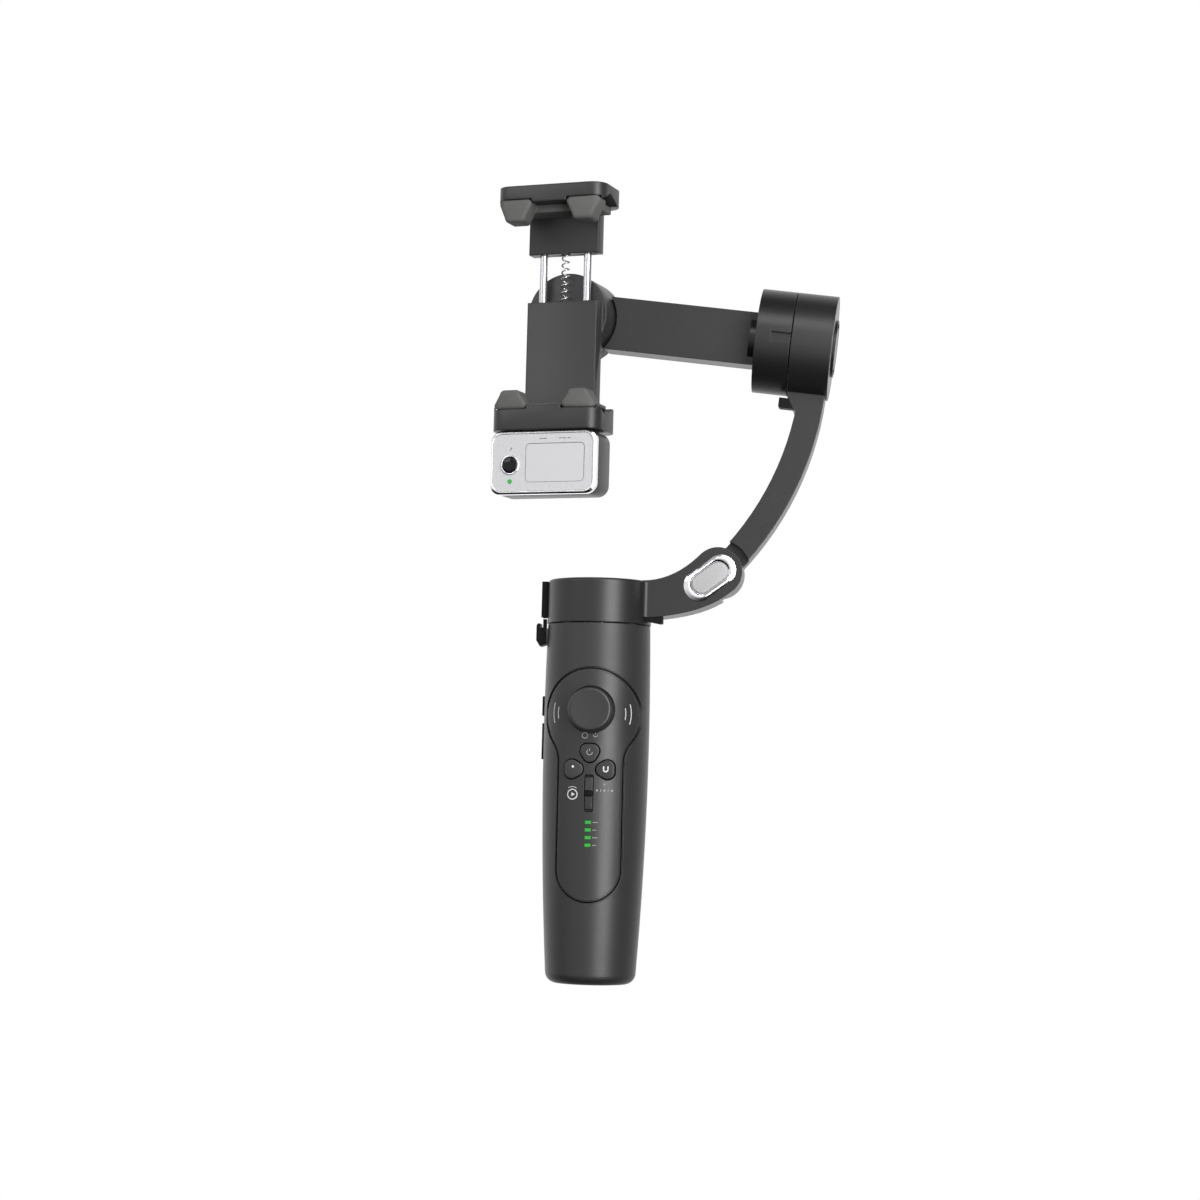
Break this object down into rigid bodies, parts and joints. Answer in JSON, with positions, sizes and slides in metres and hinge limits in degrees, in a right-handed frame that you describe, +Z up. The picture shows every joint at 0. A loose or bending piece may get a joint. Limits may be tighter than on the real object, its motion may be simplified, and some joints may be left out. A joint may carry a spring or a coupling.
{
  "type": "camera gimbal",
  "caption": "Handheld phone gimbal: a tapered grip with a lift-out remote panel, a curved folding arm, pan, tilt and roll motors, a sprung phone clamp and a clip-on tracking light.",
  "frame": {"origin": "centre of the mouth of the tripod socket, on the flat bottom of the grip", "axes": "+Z up along the grip, -Y towards the user and the control panel, +X towards the side that carries the arm"},
  "size_m": [0.137, 0.0579, 0.3167],
  "materials": {
    "grip_shell": "satin moulded, fine grain",
    "grip_rear": "satin moulded, fine grain",
    "panel_plastic": "satin moulded",
    "key_plastic": "satin, slightly glossier than the panel",
    "black_plastic": "fine matte",
    "arm_plastic": "satin coated",
    "drum_plastic": "satin coated",
    "jaw_plastic": "satin moulded",
    "pad_rubber": "soft matte",
    "port_rubber": "soft matte",
    "chrome_trim": "polished",
    "insert_grey": "satin",
    "module_white": "satin silver white",
    "module_grey": "satin moulded",
    "diffuser": "frosted",
    "lens_black": "polished",
    "led_green": "lit light pipe",
    "steel": "brushed",
    "motor_steel": "dull",
    "copper_wire": "enamelled copper windings",
    "aluminium_part": "machined",
    "brass_part": "turned",
    "board_green": "solder mask",
    "cell_wrap": "shrink wrap",
    "frame_black": "moulded"
  },
  "bodies": {
    "grip": {"front_shell": "grip_shell", "rear_shell": "grip_rear", "tripod_socket": "brass_part", "battery_cell": "cell_wrap", "battery_cradle": "frame_black", "main_board": "board_green", "dock_plate": "frame_black", "dock_contacts": "brass_part", "charge_port": "steel", "motor_mount": "aluminium_part", "pan_stator": "copper_wire", "pan_bearings": "steel", "case_screws": "steel"},
    "side_button": {"side_button": "black_plastic"},
    "port_cover": {"port_cover": "port_rubber"},
    "pan_lock": {"pan_lock": "black_plastic"},
    "remote": {"remote_cover": "panel_plastic", "remote_base": "frame_black", "remote_board": "board_green", "remote_cell": "aluminium_part", "status_leds": "led_green"},
    "joystick_ring": {"joystick_ring": "steel"},
    "joystick": {"joystick_cap": "key_plastic"},
    "power_button": {"power_button": "key_plastic"},
    "left_button": {"left_button": "key_plastic"},
    "right_button": {"right_button": "key_plastic"},
    "zoom_slider": {"zoom_slider": "key_plastic"},
    "pan_frame": {"pan_arm": "arm_plastic", "pan_arm_cover": "arm_plastic", "pan_stop": "black_plastic", "lock_keeper": "black_plastic", "fold_ring": "chrome_trim", "fold_insert": "insert_grey", "fold_pin": "steel", "pan_rotor": "motor_steel"},
    "upper_arm": {"upper_arm": "arm_plastic", "upper_arm_cover": "arm_plastic", "tilt_cap": "drum_plastic", "tilt_stop": "black_plastic", "tilt_stator": "copper_wire", "tilt_bearings": "steel"},
    "link": {"tilt_cup": "drum_plastic", "link_arm": "arm_plastic", "link_cover": "arm_plastic", "tilt_rotor": "motor_steel", "roll_stator": "copper_wire", "roll_bearings": "steel"},
    "clamp": {"clamp_base": "jaw_plastic", "roll_rotor": "motor_steel", "clamp_spring": "steel", "lower_pads": "pad_rubber"},
    "jaw": {"upper_jaw": "jaw_plastic", "guide_rods": "steel", "upper_pads": "pad_rubber"},
    "tracking_light": {"module_body": "module_grey", "module_bezel": "chrome_trim", "module_face": "module_white", "module_lens": "lens_black", "light_diffuser": "diffuser", "module_led": "led_green"}
  },
  "joints": [
    {"name": "pan", "type": "hinge", "parent": "grip", "child": "pan_frame", "pos_m": [0, 0, 0.15], "axis": [0, 0, 1], "range_deg": [-140, 140]},
    {"name": "fold", "type": "hinge", "parent": "pan_frame", "child": "upper_arm", "pos_m": [0.048, 0, 0.165], "axis": [0, 1, 0], "range_deg": [0, 90]},
    {"name": "tilt", "type": "hinge", "parent": "upper_arm", "child": "link", "pos_m": [0.0769, 0, 0.2582], "axis": [0.9945, 0, -0.1045], "range_deg": [-120, 120]},
    {"name": "roll", "type": "hinge", "parent": "link", "child": "clamp", "pos_m": [-0.018, -0.0198, 0.2682], "axis": [0.2487, 0.9686, 0], "range_deg": [-150, 150]},
    {"name": "jaw_slide", "type": "slide", "parent": "clamp", "child": "jaw", "axis": [0, 0, 1], "range_m": [-0.018, 0.011], "deforming": ["clamp_spring"]},
    {"name": "light_release", "type": "slide", "parent": "clamp", "child": "tracking_light", "axis": [0, 0, -1], "range_m": [0, 0.025]},
    {"name": "remote_release", "type": "slide", "parent": "grip", "child": "remote", "axis": [0, -1, 0], "range_m": [0, 0.03]},
    {"name": "stick_up_down", "type": "hinge", "parent": "remote", "child": "joystick_ring", "pos_m": [0, -0.015, 0.1084], "axis": [1, 0, 0], "range_deg": [-7, 7], "stiffness_Nm_per_rad": 0.02},
    {"name": "stick_left_right", "type": "hinge", "parent": "joystick_ring", "child": "joystick", "pos_m": [0, -0.015, 0.1084], "axis": [0, 0, 1], "range_deg": [-7, 7], "stiffness_Nm_per_rad": 0.02},
    {"name": "power_press", "type": "slide", "parent": "remote", "child": "power_button", "axis": [0, 1, 0], "range_m": [0, 0.0006], "stiffness_N_per_m": 600},
    {"name": "left_press", "type": "slide", "parent": "remote", "child": "left_button", "axis": [0, 1, 0], "range_m": [0, 0.0006], "stiffness_N_per_m": 600},
    {"name": "right_press", "type": "slide", "parent": "remote", "child": "right_button", "axis": [0, 1, 0], "range_m": [0, 0.0006], "stiffness_N_per_m": 600},
    {"name": "zoom_push", "type": "slide", "parent": "remote", "child": "zoom_slider", "axis": [0, 0, 1], "range_m": [-0.0008, 0.0008], "stiffness_N_per_m": 100},
    {"name": "side_press", "type": "slide", "parent": "grip", "child": "side_button", "axis": [1, 0, 0], "range_m": [0, 0.0007], "stiffness_N_per_m": 600},
    {"name": "port_flap", "type": "hinge", "parent": "grip", "child": "port_cover", "pos_m": [-0.0211, 0.0027, 0.096], "axis": [0, 0, 1], "range_deg": [-100, 0]},
    {"name": "lock_slide", "type": "slide", "parent": "grip", "child": "pan_lock", "axis": [0, 0, 1], "range_m": [0, 0.0024]}
  ]
}
